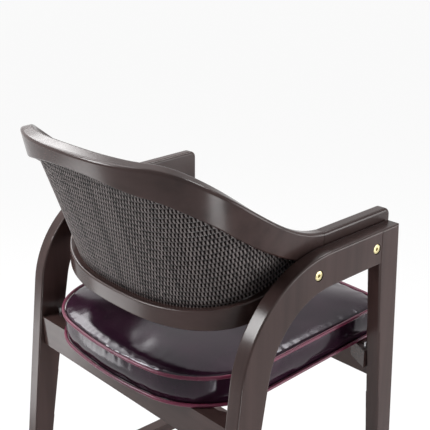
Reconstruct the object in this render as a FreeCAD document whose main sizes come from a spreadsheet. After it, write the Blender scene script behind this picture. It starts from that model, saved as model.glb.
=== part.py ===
import FreeCAD
import Part

import math
import os
from types import SimpleNamespace

import Sketcher
from FreeCAD import Placement, Rotation, Vector

# Bar-height armchair with a wicker back.
# The sitter faces -Y, +Z is up, and the floor is at zero in the middle of the chair.

# Driving sizes, in millimetres and degrees
SIZES = [
    # whole chair
    ("overall_depth", 513.0),
    ("inner_width", 500.0),
    ("frame_thickness", 27.0),
    ("rail_height", 687.0),
    # side frames: a raked rear leg bent over into the top rail, and a tapered front leg
    ("rear_leg_setout", 164.5),
    ("front_leg_setout", 199.0),
    ("rear_rake", 6.5),
    ("front_rake", 2.9),
    ("frame_top_height", 921.0),
    ("top_slope", 2.3),
    ("frame_band", 56.0),
    ("arch_radius", 190.0),
    ("inner_rake", 9.3),
    ("leg_mid_height", 500.0),
    ("rear_leg_mid_depth", 43.0),
    ("rear_leg_foot_depth", 32.0),
    ("front_leg_top_depth", 46.5),
    ("front_leg_mid_depth", 35.5),
    ("front_leg_foot_depth", 29.0),
    ("frame_edge_radius", 3.0),
    # arms and crest rail: one band, upright along the arms and leaning back behind the sitter
    ("arm_thickness", 22.0),
    ("arm_rise", 19.0),
    ("arm_overhang", 10.0),
    ("arm_front_depth", 66.0),
    ("arm_tail_depth", 43.0),
    ("arm_joint_y", -36.5),
    ("arm_step_gap", 16.0),
    ("arm_step_run", 50.0),
    ("arm_nose_radius", 12.0),
    ("arm_chin_radius", 6.0),
    ("band_top_radius", 5.0),
    ("band_bottom_radius", 3.0),
    ("bend_start_y", 60.5),
    ("bend_fullness", 2.6),
    ("crest_height", 1068.0),
    ("crest_rise_lead", 105.0),
    ("crest_rise_run", 307.0),
    ("crest_taper_lag", 130.0),
    ("crest_taper_run", 220.0),
    ("crest_bend_depth", 53.0),
    ("crest_swell_run", 170.0),
    ("crest_depth", 28.0),
    ("crest_thickness", 26.0),
    ("crest_lean", 12.0),
    ("crest_lean_lead", 37.0),
    ("crest_lean_run", 152.0),
    ("crest_clearance", 0.3),
    # lower back rail
    ("lower_rail_thickness", 25.0),
    ("lower_rail_clearance", 0.1),
    ("lower_rail_rear_y", 172.5),
    ("lower_rail_end_y", -12.0),
    ("lower_rail_fullness", 2.5),
    ("lower_rail_height", 828.0),
    ("lower_rail_climb", 0.42),
    ("lower_rail_depth", 29.0),
    ("lower_rail_swell", 8.0),
    # wicker panel
    ("wicker_thickness", 4.0),
    ("wicker_upper_cover", 4.0),
    ("wicker_lower_inset", 15.0),
    ("wicker_tuck", 8.0),
    ("wicker_end_y", -2.0),
    # seat rails
    ("seat_rake", 2.9),
    ("rear_rail_y", 160.5),
    ("rear_rail_thickness", 25.0),
    ("front_rail_y", -174.5),
    ("front_rail_thickness", 22.0),
    ("seat_rail_depth", 54.0),
    # seat
    ("cushion_side_gap", 25.0),
    ("cushion_depth", 455.0),
    ("boxing_height", 50.0),
    ("crown_height", 18.0),
    ("boxing_bulge", 2.0),
    ("cushion_rear_radius", 130.0),
    ("cushion_front_radius", 45.0),
    ("cushion_rear_bow", 700.0),
    ("cushion_front_bow", 2500.0),
    ("piping_radius", 3.0),
    ("seam_gap", 0.3),
    ("cover_thickness", 1.6),
    ("board_thickness", 12.0),
    ("board_inset", 4.0),
    # stretchers and footrest
    ("stretcher_top", 335.0),
    ("stretcher_depth", 22.0),
    ("stretcher_thickness", 25.0),
    ("footrest_top", 390.0),
    ("footrest_depth", 30.0),
    ("footrest_thickness", 24.0),
    # corner blocks, screws, dowels, bolts and glides
    ("block_along_rail", 44.0),
    ("block_along_leg", 21.0),
    ("screw_setback", 8.0),
    ("block_height", 30.0),
    ("screw_radius", 2.2),
    ("screw_head_radius", 4.5),
    ("screw_head_height", 3.0),
    ("screw_bite", 9.0),
    ("dowel_radius", 5.0),
    ("dowel_length", 40.0),
    ("thin_dowel_radius", 4.0),
    ("glue_gap", 0.1),
    ("bolt_front_y", -132.5),
    ("bolt_rear_y", 2.5),
    ("bolt_head_radius", 7.8),
    ("bolt_head_height", 3.0),
    ("bolt_recess", 0.8),
    ("bolt_recess_radius", 8.6),
    ("bolt_shank_radius", 3.0),
    ("bolt_hole_radius", 3.3),
    ("bolt_socket_radius", 2.6),
    ("bolt_socket_depth", 2.2),
    ("insert_radius", 5.0),
    ("insert_length", 13.0),
    ("glide_height", 4.0),
    ("glide_radius", 11.0),
    ("glide_pin_radius", 1.6),
    ("glide_pin_length", 14.0),
]

doc = FreeCAD.newDocument("bar_armchair")
sheet = doc.addObject("Spreadsheet::Sheet", "Sizes")
for row, (alias, number) in enumerate(SIZES, start=1):
    sheet.set(f"A{row}", alias)
    sheet.set(f"B{row}", str(number))
    sheet.setAlias(f"B{row}", alias)
doc.recompute()


class Size:
    """A length or an angle: its number and the sheet expression that gives it."""

    def __init__(self, value, text):
        self.value = value
        self.text = text

    def __add__(self, other):
        other = as_size(other)
        return Size(self.value + other.value, f"({self.text} + {other.text})")

    def __sub__(self, other):
        other = as_size(other)
        return Size(self.value - other.value, f"({self.text} - {other.text})")

    def __mul__(self, other):
        other = as_size(other)
        return Size(self.value * other.value, f"({self.text} * {other.text})")

    def __truediv__(self, other):
        other = as_size(other)
        return Size(self.value / other.value, f"({self.text} / {other.text})")

    def __neg__(self):
        return Size(-self.value, f"(0 - {self.text})")


def as_size(number):
    return number if isinstance(number, Size) else Size(float(number), repr(float(number)))


def sine(angle):
    return Size(math.sin(math.radians(angle.value)), f"sin({angle.text} * 1 deg)")


def cosine(angle):
    return Size(math.cos(math.radians(angle.value)), f"cos({angle.text} * 1 deg)")


def root(size):
    return Size(math.sqrt(size.value), f"sqrt({size.text})")


def tangent(angle):
    return Size(math.tan(math.radians(angle.value)), f"tan({angle.text} * 1 deg)")


s = SimpleNamespace(**{alias: Size(sheet.get(alias), "Sizes." + alias) for alias, _ in SIZES})

LEFT, RIGHT = 1, -1
SIDES = {"left": LEFT, "right": RIGHT}
AXES = {
    "x": Rotation(Vector(0, 1, 0), 90),
    "-x": Rotation(Vector(0, 1, 0), -90),
    "y": Rotation(Vector(1, 0, 0), -90),
    "z": Rotation(),
}
nodes = {}


# Helpers for sketches, pads, primitives and cuts


def bind_place(thing, x, y, z):
    for axis, size in zip("xyz", (x, y, z)):
        thing.setExpression(f"Placement.Base.{axis}", as_size(size).text)


def cylinder(name, place, axis, radius, height):
    rod = doc.addObject("Part::Cylinder", name)
    rod.Placement = Placement(Vector(*(as_size(p).value for p in place)), AXES[axis])
    rod.setExpression("Radius", radius.text)
    rod.setExpression("Height", height.text)
    bind_place(rod, *place)
    return rod


def group(label, members):
    bundle = doc.addObject("Part::Compound", label)
    bundle.Links = members
    return bundle


def cut(label, base, tools):
    """The base piece with the tools taken out of it."""
    piece = doc.addObject("Part::Cut", label)
    piece.Base = base
    piece.Tool = tools[0] if len(tools) == 1 else group(label + "_holes", tools)
    return piece


def arc_through(start, via, end):
    """Centre, radius and turning sense of the circle through three points of a sketch."""
    circle = Part.Circle(Vector(*start, 0), Vector(*via, 0), Vector(*end, 0))
    ahead = (via[0] - start[0]) * (end[1] - start[1]) - (via[1] - start[1]) * (end[0] - start[0])
    return circle.Center, circle.Radius, ahead > 0


def profile(body, plane, offset, corners):
    """A closed sketch. A corner is (y, z), or (y, z, via) where an arc through via leads to it."""
    sketch = body.newObject("Sketcher::SketchObject", body.Name + "_profile")
    origin_plane = next(f for f in body.Origin.OriginFeatures if f.Role == plane)
    sketch.AttachmentSupport = [(origin_plane, "")]
    sketch.MapMode = "FlatFace"
    sketch.setExpression("AttachmentOffset.Base.z", as_size(offset).text)
    points = [(c[0].value, c[1].value) for c in corners]
    ends = []
    for index, corner in enumerate(corners):
        start, end = points[index - 1], points[index]
        if len(corner) == 2:
            edge = sketch.addGeometry(Part.LineSegment(Vector(*start, 0), Vector(*end, 0)))
            ends.append((edge, 1, 2))
            continue
        via = corner[2]
        centre, radius, turns_left = arc_through(start, (via[0].value, via[1].value), end)
        angles = [math.atan2(p[1] - centre.y, p[0] - centre.x) for p in (start, end)]
        if not turns_left:
            angles.reverse()
        circle = Part.Circle(centre, Vector(0, 0, 1), radius)
        edge = sketch.addGeometry(Part.ArcOfCircle(circle, *angles))
        ends.append((edge, 1, 2) if turns_left else (edge, 2, 1))
        mark = sketch.addGeometry(Part.Point(Vector(via[0].value, via[1].value, 0)), True)
        hold_point(sketch, mark, 1, via)
        sketch.addConstraint(Sketcher.Constraint("PointOnObject", mark, 1, edge))
    for index, (edge, _, finish) in enumerate(ends):
        following, begin, _ = ends[(index + 1) % len(ends)]
        sketch.addConstraint(Sketcher.Constraint("Coincident", edge, finish, following, begin))
        hold_point(sketch, edge, finish, corners[index])
    return sketch


def hold_point(sketch, edge, end, corner):
    for kind, size in (("DistanceX", corner[0]), ("DistanceY", corner[1])):
        rule = sketch.addConstraint(Sketcher.Constraint(kind, -1, 1, edge, end, size.value))
        sketch.setExpression(f"Constraints[{rule}]", size.text)


def pad(label, plane, offset, corners, length):
    """A PartDesign body padded from a closed profile."""
    body = doc.addObject("PartDesign::Body", label)
    sketch = profile(body, plane, offset, corners)
    feature = body.newObject("PartDesign::Pad", label + "_pad")
    feature.Profile = sketch
    feature.setExpression("Length", length.text)
    doc.recompute()
    return body


def round_edges(body, radius, wanted):
    """Fillets the body's edges that the test picks, with a radius from the sheet."""
    base = body.Tip
    picked = [f"Edge{i}" for i, edge in enumerate(base.Shape.Edges, start=1) if wanted(edge)]
    fillet = body.newObject("PartDesign::Fillet", body.Name + "_fillet")
    fillet.Base = (base, picked)
    fillet.setExpression("Radius", radius.text)
    doc.recompute()
    return body


def lies_at_x(edge, x):
    return all(abs(v.Point.x - x.value) < 1e-6 for v in edge.Vertexes)


def add_shape(label, shape):
    piece = doc.addObject("Part::Feature", label)
    piece.Shape = shape
    return piece


# Lines that the side frames, arms and seat are set out from

half_inner = s.inner_width / 2
half_outer = half_inner + s.frame_thickness
top_fall = tangent(s.top_slope)
seat_fall = tangent(s.seat_rake)
foot = s.glide_height


def frame_top(y):
    return s.frame_top_height - top_fall * y


def window_top(y):
    return frame_top(y) - s.frame_band / cosine(s.top_slope)


def rear_edge(z):
    return s.rear_leg_setout + tangent(s.rear_rake) * (s.rail_height - z)


def front_edge(z):
    return -(s.front_leg_setout + tangent(s.front_rake) * (s.rail_height - z))


def seat_plane(y):
    return s.rail_height + seat_fall * (s.rear_rail_y - y)


def side_face(side):
    """X of the lower face of a pad that fills one side frame's thickness."""
    return half_inner if side == LEFT else -half_outer


# Arch: tangent to the raked rear edge and to the sloping top edge
rise = s.frame_top_height - s.rail_height
rear_slope = tangent(s.rear_rake)
peak_y = (s.rear_leg_setout - rear_slope * rise) / (Size(1.0, "1") - rear_slope * top_fall)
peak_z = frame_top(peak_y)
half_turn = (Size(90.0, "90") - s.rear_rake - s.top_slope) / 2
reach = s.arch_radius * tangent(half_turn)
arch_low = (peak_y + reach * sine(s.rear_rake), peak_z - reach * cosine(s.rear_rake))
arch_high = (peak_y - reach * cosine(s.top_slope), peak_z + reach * sine(s.top_slope))
arch_centre = (
    arch_low[0] - s.arch_radius * cosine(s.rear_rake),
    arch_low[1] - s.arch_radius * sine(s.rear_rake),
)
inner_radius = s.arch_radius - s.frame_band


def on_arch(radius, angle):
    """A point of the arch, its angle measured up from straight back."""
    return (arch_centre[0] + radius * cosine(angle), arch_centre[1] + radius * sine(angle))


arch_crown = Size(90.0, "90") - s.top_slope
outer_middle = on_arch(s.arch_radius, (s.rear_rake + arch_crown) / 2)
inner_low = on_arch(inner_radius, s.inner_rake)
inner_high = on_arch(inner_radius, arch_crown)
inner_middle = on_arch(inner_radius, (s.inner_rake + arch_crown) / 2)

# Joint between the top rail and the front leg, straight above the window's front edge
joint_y = front_edge(s.frame_top_height - s.frame_band) + s.front_leg_top_depth
joint_top = (joint_y, frame_top(joint_y))
joint_bottom = (joint_y, window_top(joint_y))
corner_z = (s.frame_top_height + top_fall * (s.front_leg_setout + tangent(s.front_rake) * s.rail_height)) / (
    Size(1.0, "1") + top_fall * tangent(s.front_rake)
)
corner_y = front_edge(corner_z)


def rear_leg_inner(z, depth):
    return (rear_edge(z) - depth, z)


def front_leg_inner(z, depth):
    return (front_edge(z) + depth, z)


rear_leg_outline = [
    (rear_edge(foot), foot),
    arch_low,
    (*arch_high, outer_middle),
    joint_top,
    joint_bottom,
    inner_high,
    (*inner_low, inner_middle),
    (
        *rear_leg_inner(foot, s.rear_leg_foot_depth),
        rear_leg_inner(s.leg_mid_height, s.rear_leg_mid_depth),
    ),
]
front_leg_outline = [
    (front_edge(foot), foot),
    (corner_y, corner_z),
    joint_top,
    joint_bottom,
    (
        *front_leg_inner(foot, s.front_leg_foot_depth),
        front_leg_inner(s.leg_mid_height, s.front_leg_mid_depth),
    ),
]


def is_long_edge(edge, faces):
    """An edge of the outline on either face, away from the joint and the foot."""
    middle = edge.CenterOfMass
    on_face = any(lies_at_x(edge, face) for face in faces)
    at_joint = abs(middle.y - joint_y.value) < 1e-3
    at_foot = abs(middle.z - foot.value) < 1e-3
    return on_face and not at_joint and not at_foot


def leg(label, side, outline):
    near = side_face(side)
    body = pad(label + "_blank", "YZ_Plane", near, outline, s.frame_thickness)
    faces = (near, near + s.frame_thickness)
    return round_edges(body, s.frame_edge_radius, lambda edge: is_long_edge(edge, faces))


# Places of the fastenings

dowel_reach = s.dowel_length / 2
hole_radius = s.dowel_radius + s.glue_gap
thin_hole_radius = s.thin_dowel_radius + s.glue_gap
hole_length = s.dowel_length + s.glue_gap * 2
joint_heights = [joint_bottom[1] + s.frame_band * share for share in (0.3, 0.7)]
bolts = [("front", s.bolt_front_y), ("rear", s.bolt_rear_y)]


def band_middle(y):
    """Height of the middle of the side frame's bent band."""
    along_top = (frame_top(y) + window_top(y)) / 2
    if y.value < arch_centre[0].value:
        return along_top
    radius = s.arch_radius - s.frame_band / 2
    across = y - arch_centre[0]
    return arch_centre[1] + root(radius * radius - across * across)


def side_dowel(name, side, y, z, radius, length):
    """A rod along X, centred on a side frame's inner face."""
    start = (half_inner if side == LEFT else -half_inner) - length / 2
    return cylinder(name, (start, y, z), "x", radius, length)


def lengthwise_dowel(name, x, y, z, radius, length):
    return cylinder(name, (x, y - length / 2, z), "y", radius, length)


middle_x = {LEFT: half_inner + s.frame_thickness / 2, RIGHT: -half_inner - s.frame_thickness / 2}

# Where the seat rails meet the legs
rear_rail_middle = s.rear_rail_y - s.rear_rail_thickness / 2
front_rail_middle = s.front_rail_y - s.front_rail_thickness / 2
rail_dowels_at = [
    (f"{name}_{level}", y, seat_plane(y) - s.seat_rail_depth * share)
    for name, y in (("rear", rear_rail_middle), ("front", front_rail_middle))
    for level, share in (("upper", 0.3), ("lower", 0.72))
]
footrest_middle = front_edge(s.footrest_top) + s.front_leg_mid_depth / 2
footrest_z = s.footrest_top - s.footrest_depth / 2
stretcher_z = s.stretcher_top - s.stretcher_depth / 2


def leg_depth_at(z, mid_depth, foot_depth):
    """Depth of a leg below its middle height."""
    share = (z - foot) / (s.leg_mid_height - foot)
    return foot_depth + (mid_depth - foot_depth) * share


rear_depth_there = leg_depth_at(stretcher_z, s.rear_leg_mid_depth, s.rear_leg_foot_depth)
stretcher_rear_y = rear_edge(stretcher_z) - rear_depth_there
stretcher_front_y = front_edge(stretcher_z) + leg_depth_at(
    stretcher_z, s.front_leg_mid_depth, s.front_leg_foot_depth
)
glide_places = {
    "rear": rear_edge(foot) - s.rear_leg_foot_depth / 2,
    "front": front_edge(foot) + s.front_leg_foot_depth / 2,
}


def bolt_holes(name, side):
    """Clearance holes and recesses for the two bolts of one side frame."""
    holes = []
    for where, y in bolts:
        z = band_middle(y)
        axis = "-x" if side == LEFT else "x"
        recess = s.bolt_head_height + s.bolt_recess
        face = (half_outer if side == LEFT else -half_outer, y, z)
        holes.append(
            (where, [
                cylinder(f"{name}_{where}_recess", face, axis, s.bolt_recess_radius, recess),
                cylinder(f"{name}_{where}_hole", face, axis, s.bolt_hole_radius, s.frame_thickness * 2),
            ])
        )
    return dict(holes)


def glide_hole(name, side, y):
    return cylinder(name, (middle_x[side], y, foot), "z", s.glide_pin_radius + s.glue_gap, s.glide_pin_length)


# Side frames
for word, side in SIDES.items():
    drilled = bolt_holes(f"frame_{word}", side)
    joint_holes = [
        lengthwise_dowel(f"frame_{word}_dowel_hole_{i}", middle_x[side], joint_y, z, hole_radius, hole_length)
        for i, z in enumerate(joint_heights)
    ]
    rail_holes = {
        name: side_dowel(f"leg_{word}_{name}_hole", side, y, z, hole_radius, hole_length)
        for name, y, z in rail_dowels_at
    }
    stretcher_holes = {
        name: lengthwise_dowel(
            f"leg_{word}_stretcher_hole_{name}", middle_x[side], y, stretcher_z, thin_hole_radius, hole_length
        )
        for name, y in (("rear", stretcher_rear_y), ("front", stretcher_front_y))
    }
    footrest_hole = side_dowel(
        f"leg_{word}_footrest_hole", side, footrest_middle, footrest_z, thin_hole_radius, hole_length
    )
    rear_blank = leg(f"rear_leg_{word}", side, rear_leg_outline)
    front_blank = leg(f"front_leg_{word}", side, front_leg_outline)
    nodes[f"rear_leg_{word}"] = cut(
        f"rear_leg_{word}",
        rear_blank,
        joint_holes
        + drilled["rear"]
        + drilled["front"]
        + [rail_holes["rear_upper"], rail_holes["rear_lower"], stretcher_holes["rear"]]
        + [glide_hole(f"rear_{word}_pin_hole", side, glide_places["rear"])],
    )
    nodes[f"front_leg_{word}"] = cut(
        f"front_leg_{word}",
        front_blank,
        joint_holes
        + [rail_holes["front_upper"], rail_holes["front_lower"], stretcher_holes["front"], footrest_hole]
        + [glide_hole(f"front_{word}_pin_hole", side, glide_places["front"])],
    )

nodes["frame_dowels"] = group("frame_dowels", [
    lengthwise_dowel(f"frame_dowel_{word}_{i}", middle_x[side], joint_y, z, s.dowel_radius, s.dowel_length)
    for word, side in SIDES.items()
    for i, z in enumerate(joint_heights)
])

# Seat rails, square between the side frames, with tops cut to the seat's rake


def seat_rail(label, rear_y, thickness):
    front_y = rear_y - thickness
    bottom = seat_plane(rear_y) - s.seat_rail_depth
    rear_top, front_top = seat_plane(rear_y), seat_plane(front_y)
    outline = [(rear_y, bottom), (rear_y, rear_top), (front_y, front_top), (front_y, bottom)]
    return pad(label + "_blank", "YZ_Plane", -half_inner, outline, s.inner_width)


for name, rear_y, thickness in (
    ("rear", s.rear_rail_y, s.rear_rail_thickness),
    ("front", s.front_rail_y, s.front_rail_thickness),
):
    label = f"{name}_seat_rail"
    holes = [
        side_dowel(f"{label}_{word}_{level}", side, y, z, hole_radius, hole_length)
        for word, side in SIDES.items()
        for level, y, z in rail_dowels_at
        if level.startswith(name)
    ]
    nodes[label] = cut(label, seat_rail(label, rear_y, thickness), holes)

nodes["seat_rail_dowels"] = group("seat_rail_dowels", [
    side_dowel(f"rail_dowel_{word}_{level}", side, y, z, s.dowel_radius, s.dowel_length)
    for word, side in SIDES.items()
    for level, y, z in rail_dowels_at
])

# Side stretchers in the plane of the side frames, trimmed to the legs they meet, and the footrest
stretcher_low = s.stretcher_top - s.stretcher_depth
for word, side in SIDES.items():
    label = f"side_stretcher_{word}"
    face = middle_x[side] - s.stretcher_thickness / 2
    outline = [
        (rear_edge(stretcher_low) - s.rear_leg_foot_depth, stretcher_low),
        (rear_edge(s.stretcher_top) - s.rear_leg_foot_depth, s.stretcher_top),
        (front_edge(s.stretcher_top) + s.front_leg_foot_depth, s.stretcher_top),
        (front_edge(stretcher_low) + s.front_leg_foot_depth, stretcher_low),
    ]
    rail = pad(label + "_rail", "YZ_Plane", face, outline, s.stretcher_thickness)
    holes = [
        lengthwise_dowel(f"{label}_hole_{end}", middle_x[side], y, stretcher_z, thin_hole_radius, hole_length)
        for end, y in (("rear", stretcher_rear_y), ("front", stretcher_front_y))
    ]
    trimmed = cut(label + "_trimmed", rail, [
        doc.getObject(f"rear_leg_{word}_blank"),
        doc.getObject(f"front_leg_{word}_blank"),
    ])
    nodes[label] = cut(label, trimmed, holes)

nodes["stretcher_dowels"] = group("stretcher_dowels", [
    lengthwise_dowel(
        f"stretcher_dowel_{word}_{end}", middle_x[side], y, stretcher_z, s.thin_dowel_radius, s.dowel_length
    )
    for word, side in SIDES.items()
    for end, y in (("rear", stretcher_rear_y), ("front", stretcher_front_y))
])

footrest_front = footrest_middle - s.footrest_thickness / 2
footrest_rear = footrest_middle + s.footrest_thickness / 2
footrest_low = s.footrest_top - s.footrest_depth
footrest = pad("front_footrest_blank", "YZ_Plane", -half_inner, [
    (footrest_front, footrest_low),
    (footrest_front, s.footrest_top),
    (footrest_rear, s.footrest_top),
    (footrest_rear, footrest_low),
], s.inner_width)
round_edges(footrest, s.frame_edge_radius, lambda edge: edge.Length > s.footrest_depth.value * 2)
nodes["front_footrest"] = cut("front_footrest", footrest, [
    side_dowel(f"footrest_hole_{word}", side, footrest_middle, footrest_z, thin_hole_radius, hole_length)
    for word, side in SIDES.items()
])
nodes["footrest_dowels"] = group("footrest_dowels", [
    side_dowel(
        f"footrest_dowel_{word}", side, footrest_middle, footrest_z, s.thin_dowel_radius, s.dowel_length
    )
    for word, side in SIDES.items()
])

# Arms: planks against the frames' inner faces, deeper in front of the step in their lower edge


def arm_top(y):
    return frame_top(y) + s.arm_rise


arm_front_y = corner_y - s.arm_overhang
step_rear_y = s.arm_joint_y - s.arm_step_gap
step_front_y = step_rear_y - s.arm_step_run
step_middle_y = (step_rear_y + step_front_y) / 2
step_rear_z = arm_top(step_rear_y) - s.arm_tail_depth
step_front_z = arm_top(step_front_y) - s.arm_front_depth
step_middle_z = (step_rear_z + step_front_z) / 2
step_drop = step_rear_z - step_front_z
# The step is an S of two equal arcs, each drawn through a point half way along its run
step_half = s.arm_step_run / 2
step_radius = (step_half * step_half + step_drop * step_drop / 4) / step_drop
step_bow = step_radius - root(step_radius * step_radius - step_half * step_half / 4)
arm_outline = [
    (arm_front_y, arm_top(arm_front_y) - s.arm_front_depth),
    (arm_front_y, arm_top(arm_front_y)),
    (s.arm_joint_y, arm_top(s.arm_joint_y)),
    (s.arm_joint_y, arm_top(s.arm_joint_y) - s.arm_tail_depth),
    (step_rear_y, step_rear_z),
    (
        step_middle_y,
        step_middle_z,
        ((step_rear_y + step_middle_y) / 2, step_rear_z - step_bow),
    ),
    (
        step_front_y,
        step_front_z,
        ((step_front_y + step_middle_y) / 2, step_front_z + step_bow),
    ),
]
arm_dowel_heights = [arm_top(s.arm_joint_y) - s.arm_tail_depth * share for share in (0.3, 0.7)]


def arm_middle(side):
    return (half_inner - s.arm_thickness / 2) * side


def arm(label, side):
    face = half_inner - s.arm_thickness if side == LEFT else -half_inner
    body = pad(label + "_blank", "YZ_Plane", face, arm_outline, s.arm_thickness)
    nose = arm_front_y.value
    half_height = arm_top(arm_front_y).value - s.arm_front_depth.value / 2

    def at_nose(edge):
        return abs(edge.CenterOfMass.y - nose) < 1e-3 and abs(edge.Length - s.arm_thickness.value) < 1e-3

    round_edges(body, s.arm_nose_radius, lambda edge: at_nose(edge) and edge.CenterOfMass.z > half_height)
    round_edges(body, s.arm_chin_radius, at_nose)

    def on_top(edge):
        middle = edge.CenterOfMass
        flat = any(lies_at_x(edge, x) for x in (face, face + s.arm_thickness))
        return flat and middle.z > arm_top(middle_size(middle.y)).value - s.arm_nose_radius.value

    return round_edges(body, s.band_top_radius, on_top)


def middle_size(number):
    return Size(number, repr(number))


def insert_place(side, y):
    """Start of a threaded insert, at the inner piece's face against the frame."""
    return (half_inner if side == LEFT else -half_inner, y, band_middle(y))


def insert_seat(name, side, y):
    axis = "-x" if side == LEFT else "x"
    radius = s.insert_radius + s.glue_gap
    return cylinder(name, insert_place(side, y), axis, radius, s.insert_length + s.glue_gap)


for word, side in SIDES.items():
    label = f"arm_{word}"
    holes = [
        lengthwise_dowel(
            f"{label}_hole_{i}", arm_middle(side), s.arm_joint_y, z, thin_hole_radius, hole_length
        )
        for i, z in enumerate(arm_dowel_heights)
    ]
    holes.append(insert_seat(f"{label}_insert_seat", side, s.bolt_front_y))
    nodes[label] = cut(label, arm(label, side), holes)

nodes["arm_dowels"] = group("arm_dowels", [
    lengthwise_dowel(
        f"arm_dowel_{word}_{i}", arm_middle(side), s.arm_joint_y, z, s.thin_dowel_radius, s.dowel_length
    )
    for word, side in SIDES.items()
    for i, z in enumerate(arm_dowel_heights)
])

# Curves of the back, sampled by formula from the right round to the left

STEPS_PER_BEND = 12


def smooth(share):
    share = min(max(share, 0.0), 1.0)
    return share * share * (3 - 2 * share)


def superellipse(half_width, start_y, depth, fullness, angle):
    """Point and outward direction of a bend in plan, the angle running from 0 to 180 degrees."""
    c, n = math.cos(angle), math.sin(angle)
    power = 2 / fullness
    x = math.copysign(half_width * abs(c) ** power, c)
    y = start_y + depth * n ** power
    along_x = math.copysign((abs(x) / half_width) ** (fullness - 1) / half_width, c)
    along_y = ((y - start_y) / depth) ** (fullness - 1) / depth
    length = math.hypot(along_x, along_y)
    return Vector(x, y, 0), Vector(along_x / length, along_y / length, 0)


def stations(half_width, start_y, rear_y, fullness, straights):
    """Points and outward directions along a bend with straight ends, from the left end to the right."""
    angles = [math.pi / 2 * (i / STEPS_PER_BEND) ** 1.3 for i in range(STEPS_PER_BEND)]
    angles += [math.pi / 2] + [math.pi - angle for angle in reversed(angles)]
    bend = [superellipse(half_width, start_y, rear_y - start_y, fullness, angle) for angle in angles]
    left = [(Vector(half_width, y, 0), Vector(1, 0, 0)) for y in straights]
    right = [(Vector(-half_width, y, 0), Vector(-1, 0, 0)) for y in reversed(straights)]
    return left + bend + right


def distances(points, start_y):
    """Length along the bend from where it starts, for each station, counted from the nearer side."""
    runs = [0.0]
    for (a, _), (b, _) in zip(points, points[1:]):
        runs.append(runs[-1] + (b - a).Length)
    lead = start_y - points[0][0].y
    return [min(run, runs[-1] - run) - lead for run in runs]


def band_section(outer_top, outward, lean, depth, thickness, top_radius, bottom_radius):
    """Closed wire of a band's cross section: a leaning rectangle with rounded corners."""
    up = outward * math.sin(lean) + Vector(0, 0, math.cos(lean))
    inward = outward * -math.cos(lean) + Vector(0, 0, math.sin(lean))
    corners = [
        (outer_top, up * -1, inward, top_radius),
        (outer_top + inward * thickness, inward * -1, up * -1, top_radius),
        (outer_top + inward * thickness - up * depth, up, inward * -1, bottom_radius),
        (outer_top - up * depth, inward, up, bottom_radius),
    ]
    edges = []
    arcs = []
    for point, before, after, radius in corners:
        start = point + before * radius
        end = point + after * radius
        middle = point + (before + after) * radius * (1 - math.sqrt(0.5))
        arcs.append((start, middle, end))
    for index, (start, middle, end) in enumerate(arcs):
        edges.append(Part.Arc(start, middle, end).toShape())
        edges.append(Part.LineSegment(end, arcs[(index + 1) % len(arcs)][0]).toShape())
    return Part.Wire(edges)


crest_rear_y = s.overall_depth.value / 2 - s.band_top_radius.value * (
    1 - math.cos(math.radians(s.crest_lean.value)) - math.sin(math.radians(s.crest_lean.value))
)
crest_lead = s.bend_start_y.value - s.arm_joint_y.value
crest_points = stations(
    half_inner.value - s.crest_clearance.value,
    s.bend_start_y.value,
    crest_rear_y,
    s.bend_fullness.value,
    [s.arm_joint_y.value + crest_lead * share for share in (0.0, 0.33, 0.67)],
)
crest_runs = distances(crest_points, s.bend_start_y.value)


def crest_form(run):
    """Top height, depth, thickness and lean of the crest band at a distance round the bend."""
    start = -s.crest_rise_lead.value
    climb = smooth((run - start) / s.crest_rise_run.value)
    turn = smooth((run - s.crest_taper_lag.value) / s.crest_taper_run.value)
    low = arm_top(s.arm_joint_y).value
    top = low + (s.crest_height.value - low) * climb
    swell = smooth((run + crest_lead) / s.crest_swell_run.value)
    depth = s.arm_tail_depth.value + (s.crest_bend_depth.value - s.arm_tail_depth.value) * swell
    depth += (s.crest_depth.value - s.crest_bend_depth.value) * turn
    thickness = s.arm_thickness.value + (s.crest_thickness.value - s.arm_thickness.value) * turn
    lean = math.radians(s.crest_lean.value) * smooth((run + s.crest_lean_lead.value) / s.crest_lean_run.value)
    return top, depth, thickness, lean


crest_sections = []
wicker_upper = []
for (point, outward), run in zip(crest_points, crest_runs):
    top, depth, thickness, lean = crest_form(run)
    outer_top = Vector(point.x, point.y, top)
    radii = (s.band_top_radius.value, s.band_bottom_radius.value)
    crest_sections.append(band_section(outer_top, outward, lean, depth, thickness, *radii))
    up = outward * math.sin(lean) + Vector(0, 0, math.cos(lean))
    inset = thickness - s.wicker_upper_cover.value - s.wicker_thickness.value
    wicker_upper.append(outer_top - up * (depth - s.wicker_tuck.value) - outward * inset)

crest_blank = add_shape("crest_rail_blank", Part.makeLoft(crest_sections, True, False))
nodes["crest_rail"] = cut("crest_rail", crest_blank, [
    lengthwise_dowel(
        f"crest_hole_{word}_{i}", arm_middle(side), s.arm_joint_y, z, thin_hole_radius, hole_length
    )
    for word, side in SIDES.items()
    for i, z in enumerate(arm_dowel_heights)
])

# Lower back rail: its ends climb along the frames' inner faces to the rear bolts
rail_bend_start = s.bolt_rear_y.value
lower_points = stations(
    half_inner.value - s.lower_rail_clearance.value,
    rail_bend_start,
    s.lower_rail_rear_y.value,
    s.lower_rail_fullness.value,
    [s.lower_rail_end_y.value, (s.lower_rail_end_y.value + rail_bend_start) / 2],
)


def lower_rail_form(y):
    """Top height and depth of the lower rail at a place along the chair."""
    ahead = s.lower_rail_rear_y.value - y
    share = ahead / (s.lower_rail_rear_y.value - s.lower_rail_end_y.value)
    swell = s.lower_rail_swell.value * 4 * share * (1 - share)
    bend_climb = s.lower_rail_climb.value * min(ahead, s.lower_rail_rear_y.value - rail_bend_start)
    return s.lower_rail_height.value + bend_climb, s.lower_rail_depth.value + swell


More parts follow.
